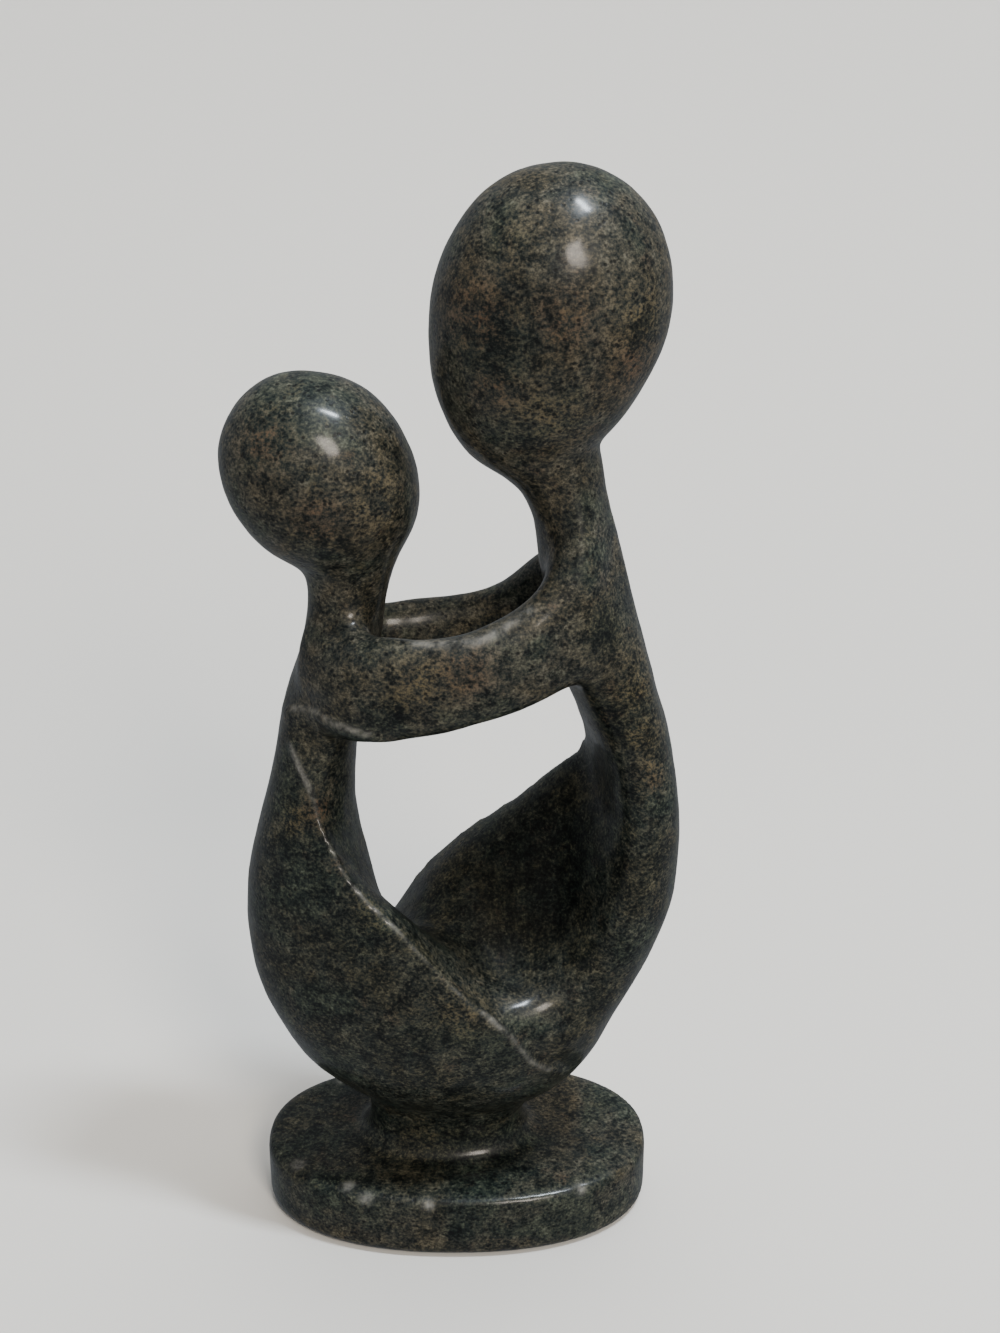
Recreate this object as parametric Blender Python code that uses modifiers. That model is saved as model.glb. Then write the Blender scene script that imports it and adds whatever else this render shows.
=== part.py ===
"""A soapstone mother and child, carved in one piece with its oval plinth.

Metres, +Z up. The origin is the centre of the plinth's underside. +X runs from the child to the mother,
and -Y faces the side on which the child's skirt crosses in front of the mother's.
"""

import bmesh
import bpy
import numpy as np
from mathutils import Matrix

# Driving sizes
FIGURE_HEIGHT = 0.2365
PLINTH_LENGTH = 0.093
PLINTH_DEPTH = 0.0565
PLINTH_THICKNESS = 0.0165
PLINTH_EDGE = 0.0026
PLINTH_SQUARENESS = 2.25
STEM_LENGTH = 0.037
STEM_DEPTH = 0.022
STEM_OFFSET = -0.0025
STEM_SQUARENESS = 2.2
STEM_FLARE = 0.22
STEM_FLARE_HEIGHT = 0.0018

# The figures are free forms, drawn in units in which they stand 236.5 high, with z from the plinth's top.
DRAWN_HEIGHT = 236.5
UNIT = FIGURE_HEIGHT / DRAWN_HEIGHT

# The block's outline before the hollow is cut: height, left x, right x, half depth, squareness.
BLOCK = (
    (8, -20, 16, 10, 2.1),
    (13, -23, 20, 12.5, 2.1),
    (18, -29, 27.5, 16.5, 2.1),
    (26, -36.8, 33.6, 21.5, 2.1),
    (38, -43.4, 39, 25, 2.1),
    (50, -47.4, 44.8, 26.5, 2.1),
    (62, -48.5, 49.9, 26.5, 2.1),
    (76, -47.4, 52.2, 25.5, 2.2),
    (92, -43.2, 51.4, 22.5, 2.5),
    (100, -41.2, 50.4, 19, 2.8),
    (109, -39.4, 48.8, 16.5, 3.2),
    (124, -36.1, 44, 16.5, 4),
    (140, -31.6, 39.9, 16, 4),
    (156, -30.4, 36.8, 14, 4),
)

# The torsos left standing in the hollow, as upright cores with a blunt heel and a drawn-out edge:
# height, heel x and y, edge x and y, reach inwards and outwards from the line between them, sharpness.
CHILD_TORSO = (
    (36, -37, 13, 24, -27, 0, 22, 0.8),
    (66, -43, 15, -4.5, -28, 11.5, 22, 0.8),
    (77, -41.5, 14.5, -16, -26, 13.7, 20, 0.8),
    (86, -38, 14, -23.2, -23, 11.8, 17, 0.8),
    (92, -34.5, 13.5, -28, -20, 10, 14, 0.6),
    (99, -31.5, 13, -31, -16, 9.3, 11.5, 0.4),
    (109, -29.7, 12.5, -30.5, -13, 9.2, 10, 0.1),
    (122, -27, 12, -27, -12, 9.4, 9.4, 0),
    (134, -23.3, 10.5, -23.3, -10.5, 8.8, 8.8, 0),
    (144, -22.3, 9.5, -22.3, -9.5, 9, 9, 0),
    (151, -21.6, 10.5, -21.6, -10.5, 10.6, 10.6, 0),
    (160, -22.5, 12, -22.5, -12, 15, 15, 0),
)
MOTHER_TORSO = (
    (36, 38, -15, -28, 26, -2, 20, 0.8),
    (66, 44.5, -17, -3, 26, 0, 18, 0.8),
    (78, 46, -16, 11, 25, 2, 14.5, 0.75),
    (92, 46, -14.5, 26, 22, 3.5, 15, 0.6),
    (101, 44.5, -14, 29.1, 20, 4, 14, 0.4),
    (111, 42.5, -13.5, 29, 18, 6, 12.5, 0.2),
    (122, 38.5, -13.5, 32, 16, 10.6, 10, 0),
    (136, 32.5, -12.5, 31, 14, 10, 9.7, 0),
    (152, 28, -9, 28, 9, 9.6, 9.6, 0),
    (162, 26, -9, 26, 9, 8.9, 8.9, 0),
    (168, 23.5, -10, 23.5, 10, 9.9, 9.9, 0),
    (175, 18, -12, 18, 12, 15, 15, 0),
)

# The lap's two rims, x and height, and how wide and deep its saddle is hollowed between them.
LAP_NEAR_RIM = (
    (-60, 140),
    (-34, 108),
    (-23, 85),
    (-11, 72),
    (0, 59.5),
    (8, 51),
    (14, 49.5),
    (20, 51.5),
    (27, 57),
    (33, 64),
    (40, 84),
    (47, 115),
    (60, 170),
)
LAP_FAR_RIM = (
    (-60, 150),
    (-46, 110),
    (-40, 82),
    (-34, 59),
    (-28, 46),
    (-22, 43.5),
    (-14, 52),
    (-4, 64.5),
    (11, 77.5),
    (26, 92),
    (60, 130),
)
LAP_HALF_WIDTH = 19
LAP_HOLLOW = 6
LAP_CUTTER = (60, 40)

# Heads: centre x and z, half length, half width, half depth, lean in degrees, widening towards the crown.
MOTHER_HEAD = (19.9, 202.3, 33.2, 24.5, 22.5, 15.5, 0.1)
CHILD_HEAD = (-27.1, 169.7, 23.7, 20.1, 19.0, -37, 0.04)

# The arms, from the mother's neck to the child's shoulder:
# x, distance from the middle, z, half height, half thickness, and how far the top leans in.
NEAR_ARM = (
    (27, 3, 150, 22, 5, 2),
    (27.5, 9.5, 150, 24, 6, 3),
    (22, 14.3, 139.5, 14.2, 6, 1),
    (9, 18, 132, 11.3, 6, 0),
    (-8, 18, 128, 11.8, 6, 0),
    (-22, 14, 127.5, 13, 6, 1.5),
    (-29.5, 4, 127.5, 13, 6, 0),
)
FAR_ARM = (
    (29.5, 3, 141, 11, 5, 0),
    (29.5, 10, 142, 12.5, 6, 0),
    (22, 14.5, 137.5, 11.5, 6, 0),
    (9, 18, 127.8, 10, 6, 0),
    (-8, 18, 124.2, 10, 6, 0),
    (-22, 14, 123, 11.5, 6, 0),
    (-29.5, 4, 126, 12, 6, 0),
)
ARM_SQUARENESS = 2.4

# How finely the stone is worked, and how near to a skirt's rim the polishing stops
AROUND = 72
LEVEL_STEP = 1.5
STONE_GRAIN = 1.25
POLISHING_PASSES = 30
RIM_WIDTH = 3.5
RIM_REACH = 36
RIM_FADE = 12
FACES_KEPT = 0.085

# Places polished further, x, y and z, how far round them, and in how many passes
SOFT_PLACES = {
    "near_hip": (24, -19, 52, 11, 150),
    "lap_foot": (12, -20, 53, 6.5, 60),
    "near_side": (38, -17, 76, 14, 120),
    "near_shoulder": (27, -12, 160, 11, 40),
    "near_armpit": (34, -14, 136, 13, 100),
    "child_shoulder": (-23, -12, 141, 9, 60),
}

STONE_COLOUR = (0.055, 0.055, 0.05, 1)
STONE_ROUGHNESS = 0.32


def smooth_rows(stations, places):
    """Rows of a table read at any place along its first column, on a smooth curve through its values."""
    stations = np.array(stations, float)
    knots, values = stations[:, 0], stations[:, 1:]
    slopes = np.gradient(values, knots, axis=0)
    start = np.clip(np.searchsorted(knots, places, side="right") - 1, 0, len(knots) - 2)
    gap = (knots[start + 1] - knots[start])[:, None]
    share = (places - knots[start])[:, None] / gap
    return (
        values[start] * (1 + 2 * share) * (1 - share) ** 2
        + values[start + 1] * (3 - 2 * share) * share**2
        + slopes[start] * gap * share * (1 - share) ** 2
        - slopes[start + 1] * gap * share**2 * (1 - share)
    )


def oval(angle, half_x, half_y, squareness):
    """A superellipse: squareness 2 is an ellipse, and more is fuller at the corners."""
    cosine, sine = np.cos(angle), np.sin(angle)
    x = half_x * np.sign(cosine) * np.abs(cosine) ** (2 / squareness)
    y = half_y * np.sign(sine) * np.abs(sine) ** (2 / squareness)
    return x, y


def form(name, work, forms):
    """An object that only shapes the stone, from a mesh being worked on in drawn units above the plinth."""
    bmesh.ops.recalc_face_normals(work, faces=work.faces)
    bmesh.ops.scale(work, verts=work.verts, vec=(UNIT, UNIT, UNIT))
    bmesh.ops.translate(work, verts=work.verts, vec=(0, 0, PLINTH_THICKNESS))
    mesh = bpy.data.meshes.new(name)
    work.to_mesh(mesh)
    work.free()
    return hidden(name, mesh, forms)


def hidden(name, mesh, forms):
    made = bpy.data.objects.new(name, mesh)
    made.hide_render = True
    made.display_type = "WIRE"
    forms.objects.link(made)
    return made


def loft(name, rings, forms):
    """A closed solid through rings of points, one above or beyond the other."""
    levels, around = rings.shape[:2]
    work = bmesh.new()
    spots = [work.verts.new(spot) for spot in rings.reshape(-1, 3)]
    for level in range(levels - 1):
        for here in range(around):
            beside = (here + 1) % around
            low, high = level * around, (level + 1) * around
            corners = (low + here, low + beside, high + beside, high + here)
            work.faces.new([spots[corner] for corner in corners])
    work.faces.new(spots[:around])
    work.faces.new(spots[-around:])
    return form(name, work, forms)


def levels_of(stations):
    low, high = stations[0][0], stations[-1][0]
    return np.linspace(low, high, int(np.ceil((high - low) / LEVEL_STEP)) + 1)


def angles():
    return np.linspace(0, 2 * np.pi, AROUND, endpoint=False)[None, :]


def block(forms):
    levels = levels_of(BLOCK)
    left, right, depth, squareness = (column[:, None] for column in smooth_rows(BLOCK, levels).T)
    x, y = oval(angles(), (right - left) / 2, depth, squareness)
    z = np.broadcast_to(levels[:, None], x.shape)
    return loft("block", np.stack([x + (left + right) / 2, y, z], 2), forms)


def torso(name, stations, forms):
    """Bowed teardrop sections: blunt at the heel, drawn out at the edge, and bowed outwards between them."""
    levels = levels_of(stations)
    rows = smooth_rows(stations, levels)
    heel, edge = rows[:, 0:2], rows[:, 2:4]
    inwards, outwards, sharpness = (column[:, None] for column in rows[:, 4:7].T)
    along = (edge - heel) / 2
    across = np.stack([along[:, 1], -along[:, 0]], 1) / np.linalg.norm(along, axis=1)[:, None]
    swell = np.sin(angles()) * np.abs(np.sin(angles() / 2)) ** (2 * np.clip(sharpness, 0, 1))
    swell = swell / np.abs(swell).max(axis=1)[:, None]
    offset = (outwards - inwards) / 2 * np.sin(angles()) ** 2 - (outwards + inwards) / 2 * swell
    flat = (
        ((heel + edge) / 2)[:, None, :]
        + np.cos(angles())[..., None] * along[:, None, :]
        + offset[..., None] * across[:, None, :]
    )
    z = np.broadcast_to(levels[:, None, None], (*flat.shape[:2], 1))
    return loft(name, np.concatenate([flat, z], 2), forms)


def arm(name, stations, side, forms):
    """Oval sections carried along a smooth path round the child's neck, upright or leaning in at the top."""
    path = np.array(stations, float)
    path[:, 1] *= side
    steps = np.linalg.norm(np.diff(path[:, :3], axis=0), axis=1)
    reach = np.concatenate([[0], np.cumsum(steps)])
    rows = smooth_rows(np.column_stack([reach, path]), np.linspace(0, reach[-1], AROUND))
    middle = rows[:, :3]
    ahead = np.gradient(middle, axis=0)
    beside = np.stack([ahead[:, 1], -ahead[:, 0], np.zeros(AROUND)], 1)
    beside /= np.linalg.norm(beside, axis=1)[:, None]
    out, up = oval(angles(), rows[:, 4][:, None], rows[:, 3][:, None], ARM_SQUARENESS)
    out = out - side * up * (rows[:, 5] / rows[:, 3])[:, None]
    rings = middle[:, None, :] + out[..., None] * beside[:, None, :] + up[..., None] * np.array([0, 0, 1])
    return loft(name, rings, forms)


def above_lap(forms):
    """Everything over the lap, whose floor is a saddle between two rims that cross."""
    work = bmesh.new()
    bmesh.ops.create_grid(work, x_segments=LAP_CUTTER[0], y_segments=LAP_CUTTER[1], size=1)
    x, y = np.array([vertex.co[:2] for vertex in work.verts]).T * np.array(LAP_CUTTER)[:, None]
    share = np.clip(y / LAP_HALF_WIDTH / 2 + 0.5, 0, 1)
    share = share * share * (3 - 2 * share)
    near = smooth_rows(LAP_NEAR_RIM, x)[:, 0]
    far = smooth_rows(LAP_FAR_RIM, x)[:, 0]
    z = near * (1 - share) + far * share - LAP_HOLLOW * 4 * share * (1 - share)
    for vertex, spot in zip(work.verts, np.stack([x, y, z], 1)):
        vertex.co = spot
    floor = set(work.verts)
    bmesh.ops.extrude_face_region(work, geom=work.faces[:])
    for vertex in set(work.verts) - floor:
        vertex.co.z = DRAWN_HEIGHT
    return form("above_lap", work, forms)


def rims():
    """Points where the lap's rims leave the block, up to where each rolls over a hip: they stay crisp."""
    points = []
    for rim, side in ((LAP_NEAR_RIM, -1), (LAP_FAR_RIM, 1)):
        x = side * np.arange(-RIM_FADE, RIM_REACH, 0.5)
        z = smooth_rows(rim, x)[:, 0]
        left, right, depth, squareness = smooth_rows(BLOCK, z).T
        share = np.clip(np.abs(2 * x - left - right) / (right - left), 0, 1) ** squareness
        points.append(np.stack([x, side * depth * (1 - share) ** (1 / squareness), z], 1))
    return np.concatenate(points)


def head(name, shape, forms):
    x, z, half_long, half_wide, half_deep, lean, widening = shape
    work = bmesh.new()
    bmesh.ops.create_uvsphere(work, u_segments=AROUND, v_segments=AROUND // 2, radius=1)
    for vertex in work.verts:
        wide = 1 + widening * vertex.co.z
        vertex.co.x *= wide
        vertex.co.y *= wide
    size = Matrix.Diagonal((half_wide, half_deep, half_long, 1))
    turn = Matrix.Rotation(np.radians(lean), 4, "Y")
    work.transform(Matrix.Translation((x, 0, z)) @ turn @ size)
    return form(name, work, forms)


def stem(forms):
    """The short neck of stone under the figures, flared where it rises out of the plinth."""
    sunk = 0.4 * PLINTH_THICKNESS / UNIT
    levels = np.arange(-sunk, BLOCK[2][0], LEVEL_STEP)[:, None]
    wide = 1 + STEM_FLARE * np.exp(-np.maximum(levels, 0) * UNIT / STEM_FLARE_HEIGHT)
    x, y = oval(angles(), STEM_LENGTH / 2 / UNIT * wide, STEM_DEPTH / 2 / UNIT * wide, STEM_SQUARENESS)
    z = np.broadcast_to(levels, x.shape)
    return loft("stem", np.stack([x + STEM_OFFSET / UNIT, y, z], 2), forms)


def plinth(forms):
    work = bmesh.new()
    bmesh.ops.create_cone(
        work, cap_ends=True, segments=AROUND, radius1=1, radius2=1, depth=PLINTH_THICKNESS
    )
    for vertex in work.verts:
        angle = np.arctan2(vertex.co.y, vertex.co.x)
        vertex.co.xy = oval(angle, PLINTH_LENGTH / 2, PLINTH_DEPTH / 2, PLINTH_SQUARENESS)
        vertex.co.z += PLINTH_THICKNESS / 2
    mesh = bpy.data.meshes.new("plinth")
    work.to_mesh(mesh)
    work.free()
    made = hidden("plinth", mesh, forms)
    edge = made.modifiers.new("worn_edges", "BEVEL")
    edge.width = PLINTH_EDGE
    edge.segments = 4
    edge.limit_method = "ANGLE"
    edge.angle_limit = np.radians(60)
    return made


def boolean(made, operation, other, solver):
    modifier = made.modifiers.new(other.name, "BOOLEAN")
    modifier.operation = operation
    modifier.solver = solver
    modifier.object = other


def figures(forms):
    """The block with its hollow cut, and the necks, heads, arms and stem that overlap it."""
    hollow = above_lap(forms)
    boolean(hollow, "DIFFERENCE", torso("child_torso", CHILD_TORSO, forms), "MANIFOLD")
    boolean(hollow, "DIFFERENCE", torso("mother_torso", MOTHER_TORSO, forms), "MANIFOLD")
    cut_block = block(forms)
    boolean(cut_block, "DIFFERENCE", hollow, "MANIFOLD")
    return [
        cut_block,
        torso("child_neck", CHILD_TORSO[-5:], forms),
        torso("mother_neck", MOTHER_TORSO[-6:], forms),
        head("mother_head", MOTHER_HEAD, forms),
        head("child_head", CHILD_HEAD, forms),
        arm("near_arm", NEAR_ARM, -1, forms),
        arm("far_arm", FAR_ARM, 1, forms),
        stem(forms),
    ]


def as_it_stands(made):
    graph = bpy.context.evaluated_depsgraph_get()
    return bpy.data.meshes.new_from_object(made.evaluated_get(graph))


def roughed_out(pieces, forms):
    """One closed mesh around the overlapping pieces."""
    work = bmesh.new()
    for piece in pieces:
        work.from_mesh(as_it_stands(piece))
    mesh = bpy.data.meshes.new("roughed_out")
    work.to_mesh(mesh)
    work.free()
    rough = hidden("roughed_out", mesh, forms)
    grain = rough.modifiers.new("grain", "REMESH")
    grain.mode = "VOXEL"
    grain.voxel_size = STONE_GRAIN * UNIT
    return as_it_stands(rough)


def polish(carving, name, weights, passes):
    """Smooths the stone in so many passes, each spot by its own weight."""
    group = carving.vertex_groups.new(name=name)
    for index, weight in enumerate(weights):
        group.add([index], weight, "REPLACE")
    modifier = carving.modifiers.new(name, "SMOOTH")
    modifier.factor = 0.5
    modifier.iterations = passes
    modifier.vertex_group = name


def polish_all(carving):
    """Polishes everywhere but along the skirts' rims, and once more round the soft places."""
    spots = np.array([vertex.co for vertex in carving.data.vertices])
    spots = (spots - np.array([0, 0, PLINTH_THICKNESS])) / UNIT
    nearest = np.full(len(spots), np.inf)
    for point in rims():
        nearest = np.minimum(nearest, np.linalg.norm(spots - point, axis=1))
    polish(carving, "polish", 1 - 0.9 * np.exp(-((nearest / RIM_WIDTH) ** 2)), POLISHING_PASSES)
    for name, (*middle, reach, passes) in SOFT_PLACES.items():
        away = np.linalg.norm(spots - np.array(middle), axis=1)
        polish(carving, name, np.exp(-((away / reach) ** 4)), passes)


def soapstone():
    material = bpy.data.materials.new("soapstone")
    material.use_nodes = True
    shader = material.node_tree.nodes["Principled BSDF"]
    shader.inputs["Base Color"].default_value = STONE_COLOUR
    shader.inputs["Roughness"].default_value = STONE_ROUGHNESS
    return material


def main():
    for old in list(bpy.data.objects):
        bpy.data.objects.remove(old)
    work = bpy.data.collections.new("mother_and_child")
    forms = bpy.data.collections.new("carving_forms")
    for collection in (work, forms):
        bpy.context.scene.collection.children.link(collection)
    carving = bpy.data.objects.new("mother_and_child", roughed_out(figures(forms), forms))
    work.objects.link(carving)
    polish_all(carving)
    thin = carving.modifiers.new("thin", "DECIMATE")
    thin.ratio = FACES_KEPT
    boolean(carving, "UNION", plinth(forms), "EXACT")
    carving.data.materials.clear()
    carving.data.materials.append(soapstone())
    carving.data.shade_smooth()


main()
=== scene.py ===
"""A polished soapstone mother and child, carved in one piece with its plinth, on a plain pale studio floor.

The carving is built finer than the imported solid, from the same forms and in the same frame: metres, +Z up,
the origin at the centre of the plinth's underside, +X from the child to the mother. Only the lap's near rim
is cut a little lower here, where it rolls over the hip.
"""

import bpy
import numpy as np
from bpy.props import FloatProperty, FloatVectorProperty, PointerProperty
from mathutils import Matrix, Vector


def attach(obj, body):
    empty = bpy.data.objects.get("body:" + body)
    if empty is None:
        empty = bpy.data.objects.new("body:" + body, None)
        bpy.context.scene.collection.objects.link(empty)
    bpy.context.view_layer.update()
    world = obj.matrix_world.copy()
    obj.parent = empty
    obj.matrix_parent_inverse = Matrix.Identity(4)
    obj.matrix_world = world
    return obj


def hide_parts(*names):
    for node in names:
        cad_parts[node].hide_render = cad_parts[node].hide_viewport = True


bl_info = {
    "name": "Soapstone Mother and Child",
    "version": (1, 0, 0),
    "blender": (4, 5, 0),
    "location": "3D View > Sidebar > Carving",
    "description": "Builds a polished soapstone figure group and a plain studio round it",
    "category": "Object",
}

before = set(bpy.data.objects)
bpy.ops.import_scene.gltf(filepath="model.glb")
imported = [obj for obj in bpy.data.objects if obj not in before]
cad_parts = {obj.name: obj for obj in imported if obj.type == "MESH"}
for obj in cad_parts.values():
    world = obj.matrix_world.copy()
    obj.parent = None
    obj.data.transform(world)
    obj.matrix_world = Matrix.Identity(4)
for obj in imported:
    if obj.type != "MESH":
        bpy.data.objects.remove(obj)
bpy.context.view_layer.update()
NODE = "mother_and_child"

# The figures are free forms, drawn in units in which they stand 236.5 high, with z from the plinth's top.
DRAWN_HEIGHT = 236.5

# The block's outline before the hollow is cut: height, left x, right x, half depth, squareness.
BLOCK = (
    (8, -20, 16, 10, 2.1),
    (13, -23, 20, 12.5, 2.1),
    (18, -29, 27.5, 16.5, 2.1),
    (26, -36.8, 33.6, 21.5, 2.1),
    (38, -43.4, 39, 25, 2.1),
    (50, -47.4, 44.8, 26.5, 2.1),
    (62, -48.5, 49.9, 26.5, 2.1),
    (76, -47.4, 52.2, 25.5, 2.2),
    (92, -43.2, 51.4, 22.5, 2.5),
    (100, -41.2, 50.4, 19, 2.8),
    (109, -39.4, 48.8, 16.5, 3.2),
    (124, -36.1, 44, 16.5, 4),
    (140, -31.6, 39.9, 16, 4),
    (156, -30.4, 36.8, 14, 4),
)

# The torsos left standing in the hollow, as upright cores with a blunt heel and a drawn-out edge:
# height, heel x and y, edge x and y, reach inwards and outwards from the line between them, sharpness.
CHILD_TORSO = (
    (36, -37, 13, 24, -27, 0, 22, 0.8),
    (66, -43, 15, -4.5, -28, 11.5, 22, 0.8),
    (77, -41.5, 14.5, -16, -26, 13.7, 20, 0.8),
    (86, -38, 14, -23.2, -23, 11.8, 17, 0.8),
    (92, -34.5, 13.5, -28, -20, 10, 14, 0.6),
    (99, -31.5, 13, -31, -16, 9.3, 11.5, 0.4),
    (109, -29.7, 12.5, -30.5, -13, 9.2, 10, 0.1),
    (122, -27, 12, -27, -12, 9.4, 9.4, 0),
    (134, -23.3, 10.5, -23.3, -10.5, 8.8, 8.8, 0),
    (144, -22.3, 9.5, -22.3, -9.5, 9, 9, 0),
    (151, -21.6, 10.5, -21.6, -10.5, 10.6, 10.6, 0),
    (160, -22.5, 12, -22.5, -12, 15, 15, 0),
)
MOTHER_TORSO = (
    (36, 38, -15, -28, 26, -2, 20, 0.8),
    (66, 44.5, -17, -3, 26, 0, 18, 0.8),
    (78, 46, -16, 11, 25, 2, 14.5, 0.75),
    (92, 46, -14.5, 26, 22, 3.5, 15, 0.6),
    (101, 44.5, -14, 29.1, 20, 4, 14, 0.4),
    (111, 42.5, -13.5, 29, 18, 6, 12.5, 0.2),
    (122, 38.5, -13.5, 32, 16, 10.6, 10, 0),
    (136, 32.5, -12.5, 31, 14, 10, 9.7, 0),
    (152, 28, -9, 28, 9, 9.6, 9.6, 0),
    (162, 26, -9, 26, 9, 8.9, 8.9, 0),
    (168, 23.5, -10, 23.5, 10, 9.9, 9.9, 0),
    (175, 18, -12, 18, 12, 15, 15, 0),
)

# The lap's two rims, x and height, and how wide and deep its saddle is hollowed between them.
LAP_NEAR_RIM = (
    (-60, 140),
    (-34, 108),
    (-23, 85),
    (-11, 72),
    (0, 59.5),
    (8, 51),
    (14, 49.5),
    (20, 49.8),
    (27, 53),
    (33, 61.5),
    (40, 83),
    (47, 115),
    (60, 170),
)
LAP_FAR_RIM = (
    (-60, 150),
    (-46, 110),
    (-40, 82),
    (-34, 59),
    (-28, 46),
    (-22, 43.5),
    (-14, 52),
    (-4, 64.5),
    (11, 77.5),
    (26, 92),
    (60, 130),
)
LAP_HALF_WIDTH = 19
LAP_HOLLOW = 6
LAP_CUTTER = (60, 40)

# Heads: centre x and z, half length, half width, half depth, lean in degrees, widening towards the crown.
MOTHER_HEAD = (19.9, 202.3, 33.2, 24.5, 22.5, 15.5, 0.1)
CHILD_HEAD = (-27.1, 169.7, 23.7, 20.1, 19.0, -37, 0.04)

# The arms, from the mother's shoulder to the child's: x, distance from the middle, z, half height,
# half thickness, and how far the top leans in.
NEAR_ARM = (
    (27, 3, 150, 22, 5, 2),
    (27.5, 9.5, 150, 24, 6, 3),
    (22, 14.3, 139.5, 14.2, 6, 1),
    (9, 18, 132, 11.3, 6, 0),
    (-8, 18, 128, 11.8, 6, 0),
    (-22, 14, 127.5, 13, 6, 1.5),
    (-29.5, 4, 127.5, 13, 6, 0),
)
FAR_ARM = (
    (29.5, 3, 141, 11, 5, 0),
    (29.5, 10, 142, 12.5, 6, 0),
    (22, 14.5, 137.5, 11.5, 6, 0),
    (9, 18, 127.8, 10, 6, 0),
    (-8, 18, 124.2, 10, 6, 0),
    (-22, 14, 123, 11.5, 6, 0),
    (-29.5, 4, 126, 12, 6, 0),
)
ARM_SQUARENESS = 2.4
# How many rows at the top of each torso's table stand on above the cut block.
CHILD_NECK_ROWS = 5
MOTHER_NECK_ROWS = 6

# The stem: how much it flares and how high in metres, its squareness, how far it stands to the child's side
# in metres, and the share of the plinth's thickness that it is rooted in.
STEM_FLARE = 0.22
FLARE_HEIGHT = 0.0018
STEM_SQUARENESS = 2.2
STEM_ASIDE = 0.0025
STEM_ROOT = 0.4

# The grid that the forms are drawn on, and the polishing, whose passes are counted for the coarse grain.
AROUND = 144
LEVEL_STEP = 0.75
COARSE_GRAIN = 1.25
POLISHING_PASSES = 30
# The lap's rims stay crisp: how wide, how far past the middle and before it, and the polish kept off them.
RIM_WIDTH = 3.5
RIM_REACH = 36
RIM_FADE = 12
RIM_SPARED = 0.8
# Beyond this distance a spot counts as far from a line.
FAR = 20

# Places worked softer: x, y, z, how far round, and passes of the polishing.
SOFT_PLACES = {
    "near_hip": (24, -19, 52, 11, 150),
    "lap_foot": (12, -20, 53, 6.5, 60),
    "near_side": (38, -17, 76, 14, 120),
    "near_shoulder": (27, -12, 160, 11, 40),
    "near_armpit": (34, -14, 136, 13, 100),
    "child_shoulder": (-23, -12, 141, 9, 60),
}

# More of the same, worked once the block was roughed out: x, y, z, how far round, and passes.
HAND_WORKED = ((27, -19, 55, 12, 240), (38, -13, 106, 14, 120), (34, -8, 122, 10, 60))
# The fold that carries the crest between the skirt and the lap down to the hip: x, y, z.
FOLD = ((7, -25.5, 51.4), (13, -24.5, 44.1), (18.3, -21, 34.4), (22.3, -18.1, 30.3))
# The step in which the near arm ends over the child's shoulder, and the raised edge along the same arm's top,
# which is also painted pale as a highlight.
ARM_END = ((-34.8, -8, 118.9), (-29, -15.3, 121.5), (-23.3, -20, 120.2), (-17, -21.6, 118.9))
ARM_EDGE = ((-7.1, -19.3, 139.4), (6.5, -21.2, 140.9), (16.9, -18.1, 146.4))
# The ways that the stone faces along the crest and along the arm's end.
CREST_FACES = (0.2, -0.95, 0.2)
ARM_END_FACES = (-0.5, -0.85, 0)

# The hand's unevenness: how long its waves are, how high, and the seed of their directions. It fades out
# above the plinth, from the first height over the second.
UNEVENNESS = ((28, 0.14, 3), (9, 0.045, 5), (4, 0.014, 7))
UNEVEN_FROM = (4, 8)
# The crest is raised by a height, over a width. On its lap side a groove is cut below a height, and fades
# over another: its depth, and the offsets of cut_beside.
CREST_RAISED = (0.32, 1.25)
GROOVE_BELOW = (58, 4)
GROOVE_DEPTH = 1.2
GROOVE_CUT = (1, 0.35, 1.4, 4.5)
CREST_NEAR = 8
# The arm's end is a lip, raised by a height, at an offset and over a width, and a step cut below it.
ARM_LIP = (0.4, -1.3, 1.3)
ARM_STEP_DEPTH = 0.6
ARM_STEP_CUT = (0.1, 0.3, 0.7, 5)
ARM_END_NEAR = 7
# The arm's top edge is raised by a height, over a width.
ARM_EDGE_RAISED = (0.16, 1.2)
# Chips and small hollows: x, y, z, radius, depth.
CHIPS = (
    (-25.4, -22, 0, 1.3, 0.5),
    (-20.9, -25.6, -1.2, 1.3, 0.6),
    (25.2, -14.6, 157, 1.0, 0.4),
    (-25.5, -9.4, 142.5, 1.1, 0.4),
    (30, -22.5, -1, 1.2, 0.3),
    (-38, -14, -0.6, 1.4, 0.35),
    (-6, -27.6, -1.4, 1.1, 0.35),
    (24, 24.5, -0.8, 1.4, 0.4),
    (-30, 19, -0.7, 1.2, 0.35),
)

# Where the stone's colour leans to rust, to ochre, or to blue-black: x, y, z, size. The large dark place at
# the stem's foot is painted shade under the figures.
RUST_PLACES = (
    (5.8, -17.6, 207.8, 8), (23, -22, 209, 6), (9, -20, 194, 5), (37, -15, 198, 6),
    (3.4, -24, 134.7, 5.5), (-28.9, -14.5, 97.8, 4), (-37, -14, 182, 6), (-26, -18, 166, 5),
    (44.8, -11.5, 103, 3.5), (20, 20, 205, 9), (34, 14, 120, 8), (-25, 20, 60, 9),
)
OCHRE_PLACES = (
    (-6, -24, 131.4, 7), (20.2, -19.6, 189, 8), (38, -16, 209, 6), (43, -11.5, 113, 5),
    (45, -11.5, 105.5, 4), (40.5, -11, 124, 5), (-34.5, -14.5, 95, 3.5), (1.3, -26.4, 51.4, 7),
    (-15, -15, 169.4, 6), (-17, -25, 77, 5), (12, -21, 226, 7), (30, 20, 70, 9),
    (-20, 20, 95, 6), (10, 22, 190, 9),
)
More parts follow.
